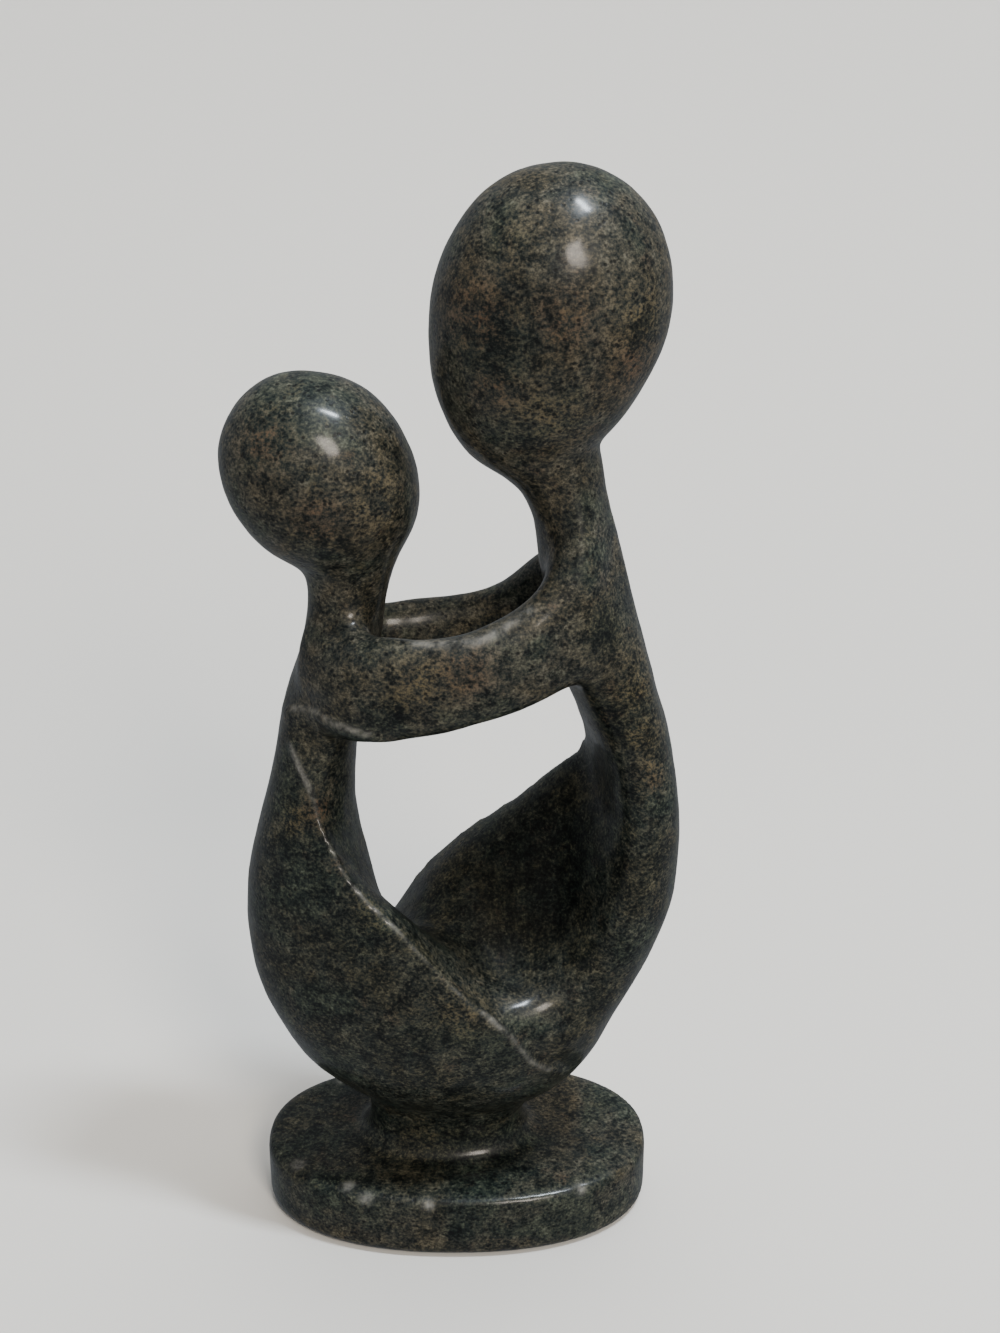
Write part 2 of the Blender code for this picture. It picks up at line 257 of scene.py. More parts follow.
DARK_PLACES = (
    (12.4, -21.1, 203.4, 7), (-21.4, -23.5, 70.3, 9), (11.2, -23.9, 38.6, 7), (-36, -14, 88, 6),
    (-23, -21, 116, 6), (39.5, -15, 204, 4), (-27, -19, 160, 5), (-12, -23, 124, 4),
    # Painted shade: (3, -12, 2, 16) is the large dark place at the stem's foot, under the figures.
    (-0.6, -27.5, -2, 4), (0, -28, -8, 3), (3, -12, 2, 16), (32, 0, 140, 9),
    (36, -12, 118, 9), (32, -12, 140, 6), (40, 5, 40, 9), (-35, 15, 60, 10),
)
# The wall at the back of the lap, painted dark as shade in the hollow: x, y, z and half sizes.
LAP_WALL_SHADE = ((20, 4, 74), (17, 13, 24))
# Soft boxes, each a middle, half sizes and how square it is along x, y and z: the inside of the lap, made
# matt and darkened as painted shade, the waxed shelf in front of it, which the light falls on and which is
# kept clear of that painted shade, and the stretch of the lap that shows the tool's strokes.
LAP_INSIDE = ((4, 0, 80), (27, 19, 42), (4, 6, 4))
LIT_SHELF = ((10, -19, 50), (15, 9, 15), (4, 4, 4))
STROKED = ((21, -21, 75), (20, 2.2, 45), (4, 2, 4))
# What the finish is multiplied by: leaning to green, leaning to brown, in the blots, and where it is matt, a
# darkening that paints shade in the lap's hollow.
COOL_TINT = (0.84, 1.0, 0.97, 1)
WARM_TINT = (1.12, 1.0, 0.85, 1)
BLOT_TINT = (0.22, 0.27, 0.3, 1)
HOLLOW_SHADE_TINT = (0.45, 0.47, 0.46, 1)
MASKS = ("ridge", "crest", "beside_crest", "rust", "ochre", "dark", "matt", "strokes")
# How wide the crest's pale line is drawn, where it falls to a third, and how far off it may reach.
CREST_LINE = 0.75
CREST_LINE_REACH = 3
# Pale lines on the arm, each a path, its width and how pale it is, and how pale the plinth's chips are. The
# line along the arm's top edge is a painted highlight.
PALE_LINES = ((ARM_END, 0.7, 0.6), (ARM_EDGE, 1.2, 0.5))
PALE_CHIPS = 0.8
# Where the tool's strokes meet at the hip, in x and z, and how far round it their pattern is drawn.
STROKES_FROM = (21, 33)
STROKE_RADIUS = 28
STROKE_LENGTH = 0.12
SKIRTS_TOP = 112

# The stone's patterns: scale for each millimetre, detail, roughness and distortion.
PATTERNS = {
    "grains": (1.3, 3, 0.68, 0),
    "clumps": (0.3, 4, 0.62, 0.3),
    "zones": (0.05, 3, 0.55, 0.6),
    "blots": (0.22, 5, 0.75, 0.2),
    "patches": (0.14, 3, 0.6, 0),
    "scored": (0.9, 4, 0.62, 0),
}
PIT_SCALE = 0.5

# The studio's sweep, in metres: radius of its bend, radius and height of its wall, and how far forward its
# middle is.
SWEEP = (0.45, 1.95, 0.6, 1.18)
# The lamps: the way out from the carving's middle, distance, width and height in metres, colour, and
# whether the polish mirrors it.
LAMPS_MIDDLE = (0, 0, 0.12)
LAMPS = {
    "cool_lamp": ((0.28, -0.1, 0.94), 1.5, (0.1, 0.3), (0.85, 0.93, 1), True),
    "warm_fill": ((0.3, -0.72, 0.62), 1.6, (0.4, 0.5), (1, 0.9, 0.78), True),
    "ceiling": ((0.05, 0.25, 1), 1.9, (1.4, 1.4), (1, 0.98, 0.95), False),
}
WORLD_COLOUR = (0.9, 0.95, 1, 1)
WORLD_STRENGTH = 0.3


class CarvingSizes(bpy.types.PropertyGroup):
    """The carving's own sizes."""

    figure_height: FloatProperty(
        name="Figure height", description="From the plinth's top to the mother's crown",
        default=0.2365, unit="LENGTH", precision=4)
    plinth_length: FloatProperty(
        name="Plinth length", description="The oval plinth, side to side",
        default=0.093, unit="LENGTH", precision=4)
    plinth_depth: FloatProperty(
        name="Plinth depth", description="The oval plinth, front to back",
        default=0.0565, unit="LENGTH", precision=4)
    plinth_thickness: FloatProperty(
        name="Plinth thickness", description="Height of the plinth",
        default=0.0165, unit="LENGTH", precision=4)
    plinth_edge: FloatProperty(
        name="Worn edge", description="Radius to which the plinth's edges are worn",
        default=0.0026, unit="LENGTH", precision=4)
    plinth_squareness: FloatProperty(
        name="Plinth squareness", description="2 is an ellipse, and more is fuller at the corners",
        default=2.25)
    stem_length: FloatProperty(
        name="Stem length", description="The stem under the figures, side to side",
        default=0.037, unit="LENGTH", precision=4)
    stem_depth: FloatProperty(
        name="Stem depth", description="The stem under the figures, front to back",
        default=0.022, unit="LENGTH", precision=4)
    grain: FloatProperty(
        name="Grain", description="Size of the finest worked spot of stone",
        default=0.00095, unit="LENGTH", precision=5)


class StoneFinish(bpy.types.PropertyGroup):
    """Colours of the stone's minerals, and its polish."""

    black: FloatVectorProperty(
        name="Black", description="The darkest grains", default=(0.0022, 0.0028, 0.003), subtype="COLOR",
        size=3)
    green: FloatVectorProperty(
        name="Green", description="Dark green-grey ground", default=(0.0125, 0.0155, 0.0145), subtype="COLOR",
        size=3)
    brown: FloatVectorProperty(
        name="Brown", description="Grey-brown grains", default=(0.039, 0.037, 0.028), subtype="COLOR", size=3)
    tan: FloatVectorProperty(
        name="Tan", description="The palest grains", default=(0.1, 0.095, 0.074), subtype="COLOR", size=3)
    rust: FloatVectorProperty(
        name="Rust", description="Patches of red-brown", default=(0.085, 0.043, 0.024), subtype="COLOR",
        size=3)
    ochre: FloatVectorProperty(
        name="Ochre", description="Patches of olive and ochre", default=(0.1, 0.076, 0.036), subtype="COLOR",
        size=3)
    # Pale wear on the crest and chips; the same colour paints a highlight along the arm's top edge.
    wear_and_highlight_colour: FloatVectorProperty(
        name="Worn edge", description="The pale dust of a worn crest", default=(0.24, 0.235, 0.22),
        subtype="COLOR", size=3)
    roughness: FloatProperty(
        name="Roughness", description="Roughness of the stone under its wax", default=0.46, subtype="FACTOR",
        min=0, max=1)
    specular: FloatProperty(
        name="Specular", description="Strength of the bare stone's own gloss", default=0.14, subtype="FACTOR",
        min=0, max=1)
    wax: FloatProperty(
        name="Wax", description="How much of the surface's gloss comes from its wax", default=0.5,
        subtype="FACTOR", min=0, max=1)
    wax_roughness: FloatProperty(
        name="Wax roughness", description="Roughness of the wax", default=0.17, subtype="FACTOR",
        min=0, max=1)
    wax_index: FloatProperty(
        name="Wax index", description="Refractive index of the wax", default=1.36, min=1)


class StudioSettings(bpy.types.PropertyGroup):
    """The plain studio: a pale sweep, soft lamps and the camera."""

    sweep: FloatVectorProperty(
        name="Sweep", description="Colour of the floor and backdrop", default=(0.64, 0.63, 0.605),
        subtype="COLOR", size=3)
    lens: FloatProperty(name="Lens", description="Focal length in millimetres", default=52, min=1)
    pitch: FloatProperty(
        name="Pitch", description="How far the camera looks down", default=np.radians(24.4),
        unit="ROTATION")
    place: FloatVectorProperty(
        name="Camera place", description="Where the camera stands", default=(0.0107, -0.3875, 0.3175),
        subtype="TRANSLATION", unit="LENGTH", size=3)
    cool_lamp: FloatProperty(
        name="Cool lamp", description="Watts of the small cool lamp", default=24, unit="POWER")
    warm_fill: FloatProperty(
        name="Warm fill", description="Watts of the warm fill", default=22, unit="POWER")
    ceiling: FloatProperty(
        name="Ceiling", description="Watts of the large soft light overhead", default=25, unit="POWER")


def smooth_rows(stations, places):
    """Rows of a table read at any place along its first column, on a smooth cubic through its values whose
    slopes are the table's own."""
    stations = np.array(stations, float)
    knots, values = stations[:, 0], stations[:, 1:]
    slopes = np.gradient(values, knots, axis=0)
    start = np.clip(np.searchsorted(knots, places, side="right") - 1, 0, len(knots) - 2)
    gap = (knots[start + 1] - knots[start])[:, None]
    share = (places - knots[start])[:, None] / gap
    return (
        values[start] * (1 + 2 * share) * (1 - share) ** 2
        + values[start + 1] * (3 - 2 * share) * share**2
        + slopes[start] * gap * share * (1 - share) ** 2
        - slopes[start + 1] * gap * share**2 * (1 - share)
    )


def oval(angle, half_x, half_y, squareness):
    """A superellipse: x = half_x |cos|^(2/squareness) with the cosine's sign, and y with the sine alike."""
    cosine, sine = np.cos(angle), np.sin(angle)
    x = half_x * np.sign(cosine) * np.abs(cosine) ** (2 / squareness)
    y = half_y * np.sign(sine) * np.abs(sine) ** (2 / squareness)
    return x, y


def closed(rings):
    """Spots and faces of a closed surface through rings (level, angle): quads between rings, and an end cap
    on the first and the last."""
    levels, around = rings.shape[:2]
    index = np.arange(levels * around).reshape(levels, around)
    beside = np.roll(index, -1, axis=1)
    quads = np.stack([index[:-1], beside[:-1], beside[1:], index[1:]], -1).reshape(-1, 4).tolist()
    return rings.reshape(-1, 3), [*quads, index[0, ::-1].tolist(), index[-1].tolist()]


def levels_of(stations):
    """Heights evenly spaced over a table's first column."""
    low, high = stations[0][0], stations[-1][0]
    return np.linspace(low, high, int(np.ceil((high - low) / LEVEL_STEP)) + 1)


def angles():
    """Angles evenly spaced round a ring, as one row."""
    return np.linspace(0, 2 * np.pi, AROUND, endpoint=False)[None, :]


def block():
    """The leaf-shaped block: at each height an oval between the left and right outline."""
    levels = levels_of(BLOCK)
    left, right, depth, squareness = (column[:, None] for column in smooth_rows(BLOCK, levels).T)
    x, y = oval(angles(), (right - left) / 2, depth, squareness)
    z = np.broadcast_to(levels[:, None], x.shape)
    return closed(np.stack([x + (left + right) / 2, y, z], 2))


def torso(stations):
    """Bowed teardrop sections: the point goes along the line from heel to edge with the cosine, and across
    it with the sine, pinched towards the edge by its sharpness and bowed outwards by the sine squared."""
    levels = levels_of(stations)
    rows = smooth_rows(stations, levels)
    heel, edge = rows[:, 0:2], rows[:, 2:4]
    inwards, outwards, sharpness = (column[:, None] for column in rows[:, 4:7].T)
    along = (edge - heel) / 2
    across = np.stack([along[:, 1], -along[:, 0]], 1) / np.linalg.norm(along, axis=1)[:, None]
    swell = np.sin(angles()) * np.abs(np.sin(angles() / 2)) ** (2 * np.clip(sharpness, 0, 1))
    swell = swell / np.abs(swell).max(axis=1)[:, None]
    offset = (outwards - inwards) / 2 * np.sin(angles()) ** 2 - (outwards + inwards) / 2 * swell
    flat = (
        ((heel + edge) / 2)[:, None, :]
        + np.cos(angles())[..., None] * along[:, None, :]
        + offset[..., None] * across[:, None, :]
    )
    z = np.broadcast_to(levels[:, None, None], (*flat.shape[:2], 1))
    return closed(np.concatenate([flat, z], 2))


def arm(stations, side):
    """Upright oval sections carried along a smooth path round the child's neck, square to the path and
    leant in at the top."""
    path = np.array(stations, float)
    path[:, 1] *= side
    steps = np.linalg.norm(np.diff(path[:, :3], axis=0), axis=1)
    reach = np.concatenate([[0], np.cumsum(steps)])
    rows = smooth_rows(np.column_stack([reach, path]), np.linspace(0, reach[-1], AROUND))
    middle = rows[:, :3]
    ahead = np.gradient(middle, axis=0)
    beside = np.stack([ahead[:, 1], -ahead[:, 0], np.zeros(AROUND)], 1)
    beside /= np.linalg.norm(beside, axis=1)[:, None]
    out, up = oval(angles(), rows[:, 4][:, None], rows[:, 3][:, None], ARM_SQUARENESS)
    out = out - side * up * (rows[:, 5] / rows[:, 3])[:, None]
    rings = middle[:, None, :] + out[..., None] * beside[:, None, :] + up[..., None] * np.array([0, 0, 1])
    return closed(rings)


def head(shape):
    """An ovoid: a sphere by latitude and angle, widened towards the crown, stretched, leant over and put in
    its place."""
    x, z, half_long, half_wide, half_deep, lean, widening = shape
    latitude = np.linspace(-np.pi / 2, np.pi / 2, AROUND // 2 + 1)[1:-1, None]
    wide = np.cos(latitude) * (1 + widening * np.sin(latitude))
    across = half_wide * wide * np.cos(angles())
    deep = half_deep * wide * np.sin(angles())
    high = half_long * np.sin(latitude) * np.ones_like(across)
    cosine, sine = np.cos(np.radians(lean)), np.sin(np.radians(lean))
    leant_x = x + across * cosine + high * sine
    leant_z = z + high * cosine - across * sine
    return closed(np.stack([leant_x, deep, leant_z], 2))


def above_lap():
    """Everything over the lap. Its floor is a saddle: a share that swings from the near rim's height to the
    far rim's with an S-curve across the lap, less a hollow that is deepest in the middle."""
    x = np.linspace(-LAP_CUTTER[0], LAP_CUTTER[0], 121)
    y = np.linspace(-LAP_CUTTER[1], LAP_CUTTER[1], 161)
    share = np.clip(y / LAP_HALF_WIDTH / 2 + 0.5, 0, 1)
    share = share * share * (3 - 2 * share)
    near = smooth_rows(LAP_NEAR_RIM, x)[:, 0][:, None]
    far = smooth_rows(LAP_FAR_RIM, x)[:, 0][:, None]
    floor = near * (1 - share) + far * share - LAP_HOLLOW * 4 * share * (1 - share)
    flat = np.stack(np.meshgrid(x, y, indexing="ij"), -1)
    low = np.concatenate([flat, floor[..., None]], 2)
    high = np.concatenate([flat, np.full((*floor.shape, 1), DRAWN_HEIGHT)], 2)
    index = np.arange(floor.size).reshape(floor.shape)
    quads = np.stack([index[:-1, :-1], index[1:, :-1], index[1:, 1:], index[:-1, 1:]], -1).reshape(-1, 4)
    edge = np.concatenate([index[:-1, 0], index[-1, :-1], index[:0:-1, -1], index[0, :0:-1]])
    after = np.roll(edge, -1)
    sides = np.stack([edge, after, after + floor.size, edge + floor.size], 1)
    spots = np.concatenate([low.reshape(-1, 3), high.reshape(-1, 3)])
    return spots, [*quads[:, ::-1].tolist(), *(quads + floor.size).tolist(), *sides.tolist()]


def stem(sizes, unit):
    """The short neck of stone under the figures: an oval at each level, flared by an exponential at its
    foot."""
    levels = np.arange(-STEM_ROOT * sizes.plinth_thickness / unit, BLOCK[2][0], LEVEL_STEP)[:, None]
    wide = 1 + STEM_FLARE * np.exp(-np.maximum(levels, 0) * unit / FLARE_HEIGHT)
    x, y = oval(
        angles(), sizes.stem_length / 2 / unit * wide, sizes.stem_depth / 2 / unit * wide, STEM_SQUARENESS,
    )
    z = np.broadcast_to(levels, x.shape)
    return closed(np.stack([x - STEM_ASIDE / unit, y, z], 2))


def plinth(sizes, unit):
    """A profile of two quarter rounds carried round an oval: each ring stands in by the profile's inset."""
    turn = np.linspace(0, np.pi / 2, 9)
    edge = sizes.plinth_edge
    inset = np.concatenate([edge * (1 - np.sin(turn)), edge * (1 - np.cos(turn))])
    height = np.concatenate([edge * (1 - np.cos(turn)), sizes.plinth_thickness - edge * (1 - np.sin(turn))])
    x, y = oval(
        angles(), sizes.plinth_length / 2 - inset[:, None], sizes.plinth_depth / 2 - inset[:, None],
        sizes.plinth_squareness,
    )
    z = np.broadcast_to(height[:, None] - sizes.plinth_thickness, x.shape)
    return closed(np.stack([x, y, z], 2) / unit)


def rims():
    """Points where the lap's rims leave the block, up to where each rolls over a hip: the edges that stay
    crisp. At a rim's height the block's oval gives the distance from the middle."""
    points = []
    for rim, side in ((LAP_NEAR_RIM, -1), (LAP_FAR_RIM, 1)):
        x = side * np.arange(-RIM_FADE, RIM_REACH, 0.5)
        z = smooth_rows(rim, x)[:, 0]
        left, right, depth, squareness = smooth_rows(BLOCK, z).T
        share = np.clip(np.abs(2 * x - left - right) / (right - left), 0, 1) ** squareness
        points.append(np.stack([x, side * depth * (1 - share) ** (1 / squareness), z], 1))
    return points


def holder(name, surface, modifiers=()):
    """A work object for a surface, whose evaluated mesh is read and which is then removed."""
    mesh = bpy.data.meshes.new(name)
    mesh.from_pydata(surface[0].tolist(), [], surface[1])
    made = bpy.data.objects.new(name, mesh)
    bpy.context.scene.collection.objects.link(made)
    for kind, values in modifiers:
        modifier = made.modifiers.new(kind.lower(), kind)
        for key, value in values.items():
            setattr(modifier, key, value)
    return made


def less(name, surface, *cutters):
    """A surface with closed work objects cut out of it."""
    how = {"operation": "DIFFERENCE", "solver": "MANIFOLD"}
    return holder(name, surface, [("BOOLEAN", {**how, "object": other}) for other in cutters])


def surface_of(made):
    """Spots and faces of a work object as its modifiers leave it."""
    mesh = bpy.data.meshes.new_from_object(made.evaluated_get(bpy.context.evaluated_depsgraph_get()))
    spots = np.empty(len(mesh.vertices) * 3, np.float32)
    mesh.vertices.foreach_get("co", spots)
    corners = np.empty(len(mesh.loops), np.int32)
    mesh.loops.foreach_get("vertex_index", corners)
    starts = np.empty(len(mesh.polygons), np.int32)
    mesh.polygons.foreach_get("loop_start", starts)
    faces = [part.tolist() for part in np.split(corners, starts[1:])]
    bpy.data.meshes.remove(mesh)
    return spots.reshape(-1, 3).astype(float), faces


def joined(surfaces):
    """Several closed surfaces as one list of spots and one of faces."""
    spots, faces, before = [], [], 0
    for own_spots, own_faces in surfaces:
        spots.append(own_spots)
        faces += [[corner + before for corner in face] for face in own_faces]
        before += len(own_spots)
    return np.concatenate(spots), faces


def path_through(stations, step=0.4):
    """Points on a smooth cubic through a path's stations, by the length gone along it."""
    stations = np.array(stations, float)
    reach = np.concatenate([[0], np.cumsum(np.linalg.norm(np.diff(stations, axis=0), axis=1))])
    return smooth_rows(np.column_stack([reach, stations]), np.arange(0, reach[-1], step))


def distance_to(points, spots, reach):
    """Each spot's distance to the nearest of some points, at most a reach, and which point that is."""
    nearest = np.full(len(spots), float(reach))
    which = np.zeros(len(spots), int)
    for index, point in enumerate(points):
        away = np.linalg.norm(spots - point, axis=1)
        closer = away < nearest
        nearest[closer] = away[closer]
        which[closer] = index
    return nearest, which


def beside_path(points, spots, outward, reach=12):
    """Each spot's distance to a path, and how far it lies to the path's side: along the cross product of
    the outward way and the path's own."""
    away, which = distance_to(points, spots, reach)
    across = np.cross(np.array(outward, float), np.gradient(points, axis=0))
    across /= np.linalg.norm(across, axis=1)[:, None]
    return away, ((spots - points[which]) * across[which]).sum(1)


def nearness(places, spots):
    """How near each spot is to any of some places: exp(-(distance / size) squared), the greatest of
    them."""
    most = np.zeros(len(spots))
    for *middle, size in places:
        away = np.linalg.norm(spots - np.array(middle), axis=1)
        most = np.maximum(most, np.exp(-((away / size) ** 2)))
    return most


def polished(spots, ends, weights, passes):
    """Smooths in passes: each spot goes half of its weight's way to the mean of its neighbours."""
    worked = np.flatnonzero(weights > 0.001)
    own = np.full(len(spots), -1)
    own[worked] = np.arange(len(worked))
    here = own[ends[:, 0]]
    start, other = here[here >= 0], ends[here >= 0, 1]
    share = (0.5 * weights[worked] / np.bincount(start, minlength=len(worked)))[:, None]
    stay = 1 - 0.5 * weights[worked][:, None]
    spots = spots.copy()
    for _ in range(passes):
        total = np.stack([np.bincount(start, spots[other, axis], len(worked)) for axis in range(3)], 1)
        spots[worked] = spots[worked] * stay + total * share
    return spots


def normals_of(spots, quads):
    """Outward unit normals: the cross product of each quad's diagonals, summed at its corners."""
    across = np.cross(spots[quads[:, 2]] - spots[quads[:, 0]], spots[quads[:, 3]] - spots[quads[:, 1]])
    total = np.zeros_like(spots)
    for corner in range(4):
        for axis in range(3):
            total[:, axis] += np.bincount(quads[:, corner], across[:, axis], len(spots))
    return total / np.linalg.norm(total, axis=1)[:, None]


def wavy(spots, size, seed, waves=14):
    """A smooth unevenness about 1 high: a sum of sine waves about size long, in directions drawn by the
    seed."""
    draw = np.random.default_rng(seed)
    ways = draw.normal(size=(waves, 3))
    ways *= (2 * np.pi / size * draw.uniform(0.6, 1.6, waves) / np.linalg.norm(ways, axis=1))[:, None]
    return np.sin(spots @ ways.T + draw.uniform(0, 2 * np.pi, waves)).sum(1) / np.sqrt(waves)


def rough_stone(sizes, unit):
    """The figures' overlapping forms and the plinth, as one closed skin of even quads."""
    torsos = [holder("torso_cutter", torso(CHILD_TORSO)), holder("torso_cutter", torso(MOTHER_TORSO))]
    hollow = less("hollow_cutter", above_lap(), *torsos)
    cut_block = less("cut_block", block(), hollow)
    forms = [
        surface_of(cut_block),
        torso(CHILD_TORSO[-CHILD_NECK_ROWS:]),
        torso(MOTHER_TORSO[-MOTHER_NECK_ROWS:]),
        head(MOTHER_HEAD),
        head(CHILD_HEAD),
        arm(NEAR_ARM, -1),
        arm(FAR_ARM, 1),
        stem(sizes, unit),
        plinth(sizes, unit),
    ]
    grain = ("REMESH", {"mode": "VOXEL", "voxel_size": sizes.grain / unit})
    skin = holder("rough_stone", joined(forms), [grain])
    spots, faces = surface_of(skin)
    for made in (*torsos, hollow, cut_block, skin):
        mesh = made.data
        bpy.data.objects.remove(made)
        bpy.data.meshes.remove(mesh)
    return spots, np.array(faces)


def neighbours(quads):
    """Every pair of neighbouring spots, both ways round."""
    sides = np.concatenate([quads[:, [corner, (corner + 1) % 4]] for corner in range(4)])
    edges = np.unique(np.sort(sides, 1), axis=0)
    return np.concatenate([edges, edges[:, ::-1]])


def crest():
    """The line between the child's skirt and the lap, from under the arm down to the hip."""
    near_rim = rims()[0]
    upper = near_rim[near_rim[:, 0] < FOLD[0][0]]
    return np.concatenate([upper[np.argsort(upper[:, 0])], path_through(FOLD)])


def cut_beside(side, edge, softness, level, width):
    """The share of a cut on one side of a line: an S-curve at its edge, level up to an offset, and from
    there fading like exp(-(distance / width) squared)."""
    fading = np.exp(-((np.maximum(side - level, 0) / width) ** 2))
    return fading / (1 + np.exp((edge - side) / softness))


def fine_carving(spots):
    """How far each polished spot is raised, in drawn units: hand unevenness, the crest with the groove beside
    its lower stretch, the lip and step at the arm's end, the raised top edge of the arm and the chips."""
    z = spots[:, 2]
    start, over = UNEVEN_FROM
    uneven = sum(height * wavy(spots, size, seed) for size, height, seed in UNEVENNESS)
    lift = uneven * np.clip((z - start) / over, 0, 1)
    away, side = beside_path(crest(), spots, CREST_FACES)
    height, width = CREST_RAISED
    lift += height * np.exp(-((away / width) ** 2))
    top, fade = GROOVE_BELOW
    near = np.exp(-((away / CREST_NEAR) ** 4)) / (1 + np.exp((z - top) / fade))
    lift -= GROOVE_DEPTH * near * cut_beside(side, *GROOVE_CUT)
    away, side = beside_path(path_through(ARM_END), spots, ARM_END_FACES)
    near = np.exp(-((away / ARM_END_NEAR) ** 4))
    height, offset, width = ARM_LIP
    lift += near * height * np.exp(-(((side - offset) / width) ** 2))
    lift -= near * ARM_STEP_DEPTH * cut_beside(side, *ARM_STEP_CUT)
    away, _ = distance_to(path_through(ARM_EDGE), spots, FAR)
    height, width = ARM_EDGE_RAISED
    lift += height * np.exp(-((away / width) ** 2))
    for *middle, radius, depth in CHIPS:
        away = np.linalg.norm(spots - np.array(middle), axis=1)
        lift -= depth * np.exp(-((away / radius) ** 2))
    return lift


def carved_shape(sizes):
    """The finished skin in metres: rough stone, polished but along its crisp rims, then its fine
    carving."""
    unit = sizes.figure_height / DRAWN_HEIGHT
    spots, quads = rough_stone(sizes, unit)
    ends = neighbours(quads)
    finer = (COARSE_GRAIN * unit / sizes.grain) ** 2
    from_rims, _ = distance_to(np.concatenate(rims()), spots, FAR)
    weights = 1 - RIM_SPARED * np.exp(-((from_rims / RIM_WIDTH) ** 2))
    weights *= np.clip((spots[:, 2] + 0.5) / 2, 0.03, 1)
    softer = []
    for *middle, reach, passes in (*SOFT_PLACES.values(), *HAND_WORKED):
        away = np.linalg.norm(spots - np.array(middle), axis=1)
        softer.append((np.exp(-((away / reach) ** 4)), passes))
    for shares, passes in [(weights, POLISHING_PASSES), *softer]:
        spots = polished(spots, ends, shares, int(passes * finer))
    spots = spots + normals_of(spots, quads) * fine_carving(spots)[:, None]
    spots[:, 2] = np.maximum(spots[:, 2], -sizes.plinth_thickness / unit)
    return spots * unit + np.array([0, 0, sizes.plinth_thickness]), quads


def soft_box(spots, middle, half, squareness):
    """1 in a box and 0 outside it: exp of minus the sum, over x, y and z, of the distance from the middle
    in half sizes, raised to the box's squareness."""
    return np.exp(-(np.abs((spots - np.array(middle)) / np.array(half)) ** np.array(squareness)).sum(1))


def masks_of(spots, sizes):
    """Where the finish changes, each 0 to 1: the pale crest, chips and edges, with a painted highlight along
    the arm's top edge; placed colours, with painted shade on the lap's back wall and at the stem's foot; the
    matt lap, darkened as painted shade; and its strokes. beside_crest is a distance, so that the crest's line
    stays thin between spots. Also the strokes' own coordinates: round the hip by angle, outwards from it, and
    through the stone."""
    unit = sizes.figure_height / DRAWN_HEIGHT
    drawn = (spots - np.array([0, 0, sizes.plinth_thickness])) / unit
    x, y, z = drawn.T
    away, side = beside_path(crest(), drawn, CREST_FACES)
    off_line = np.maximum(away**2 - side**2, 0)
    line = np.exp(-((away / CREST_LINE_REACH) ** 4) - off_line / CREST_LINE**2)
    line *= np.clip((z - 20) / 60, 0.3, 1)
    chips = [(*middle, radius) for *middle, radius, _ in CHIPS if middle[2] < 1]
    ridge = PALE_CHIPS * nearness(chips, drawn)
    # Of these, the line along the arm's top edge is a painted highlight.
    for path, width, share in PALE_LINES:
        away, _ = distance_to(path_through(path), drawn, FAR)
        ridge = np.maximum(ridge, share * np.exp(-((away / width) ** 2)))
    # Painted shade: the lap's back wall is darkened and made matt.
    middle, half = LAP_WALL_SHADE
    wall = np.exp(-((((drawn - np.array(middle)) / np.array(half)) ** 2).sum(1) ** 2))
    inside = soft_box(drawn, *LAP_INSIDE)
    # The shelf in front of the lap, which the light falls on, is kept clear of the painted shade and
    # glossier.
    lit_shelf = soft_box(drawn, *LIT_SHELF)
    skirts = 0.5 / (1 + np.exp((z - SKIRTS_TOP) / 8))
    skirts *= np.clip((z + 8) / 14 - x / 60, 0.1, 1)
    in_front = np.stack([x, np.minimum(y, STROKED[0][1]), z], 1)
    strokes = soft_box(in_front, *STROKED)
    # Darker skirts, blue-black patches, and painted shade on the lap's back wall and at the stem's foot.
    dark = np.maximum(skirts, np.maximum(wall, nearness(DARK_PLACES, drawn)))
    from_x, from_z = x - STROKES_FROM[0], z - STROKES_FROM[1]
    flow = np.stack([
        np.arctan2(from_x, from_z) * STROKE_RADIUS,
        np.hypot(from_x, from_z) * STROKE_LENGTH,
        y * 2 * STROKE_LENGTH,
    ], 1)
    masks = {
        "ridge": ridge,
        "crest": line,
        "beside_crest": side,
        "rust": nearness(RUST_PLACES, drawn),
        "ochre": nearness(OCHRE_PLACES, drawn),
        "dark": dark * (1 - 0.7 * lit_shelf),
        # Painted shade: besides making the lap's hollow rough, this darkens it.
        "matt": np.clip(0.6 * inside + 0.7 * wall, 0, 1) * (1 - 0.9 * lit_shelf),
        "strokes": strokes * np.clip(inside * 1.5, 0, 1),
    }
    return masks, flow


def add(tree, kind, settings=None, **inputs):
    """A node with its settings, and each input given as a value or as a socket to link. An input goes by
    its name, or by i and its number where names repeat."""
    made = tree.nodes.new(kind)
    for key, value in (settings or {}).items():
        setattr(made, key, value)
    for key, value in inputs.items():
        numbered = key[0] == "i" and key[1:].isdigit()
        socket = made.inputs[int(key[1:]) if numbered else key]
        if isinstance(value, bpy.types.NodeSocket):
            tree.links.new(value, socket)
        else:
            socket.default_value = value
    return made


def noise(tree, place, scale, detail, roughness, distortion):
    """The value of a noise, 0 to 1."""
    return add(
        tree, "ShaderNodeTexNoise", Vector=place, Scale=scale, Detail=detail, Roughness=roughness,
        Distortion=distortion,
    ).outputs["Fac"]


def stretch(tree, value, low, high, bottom=0.0, top=1.0):
    """A value from low..high spread over bottom..top, and held there beyond."""
    made = add(tree, "ShaderNodeMapRange", {"clamp": True}, Value=value)
    made.inputs["From Min"].default_value = low
    made.inputs["From Max"].default_value = high
    made.inputs["To Min"].default_value = bottom
    made.inputs["To Max"].default_value = top
    return made.outputs["Result"]


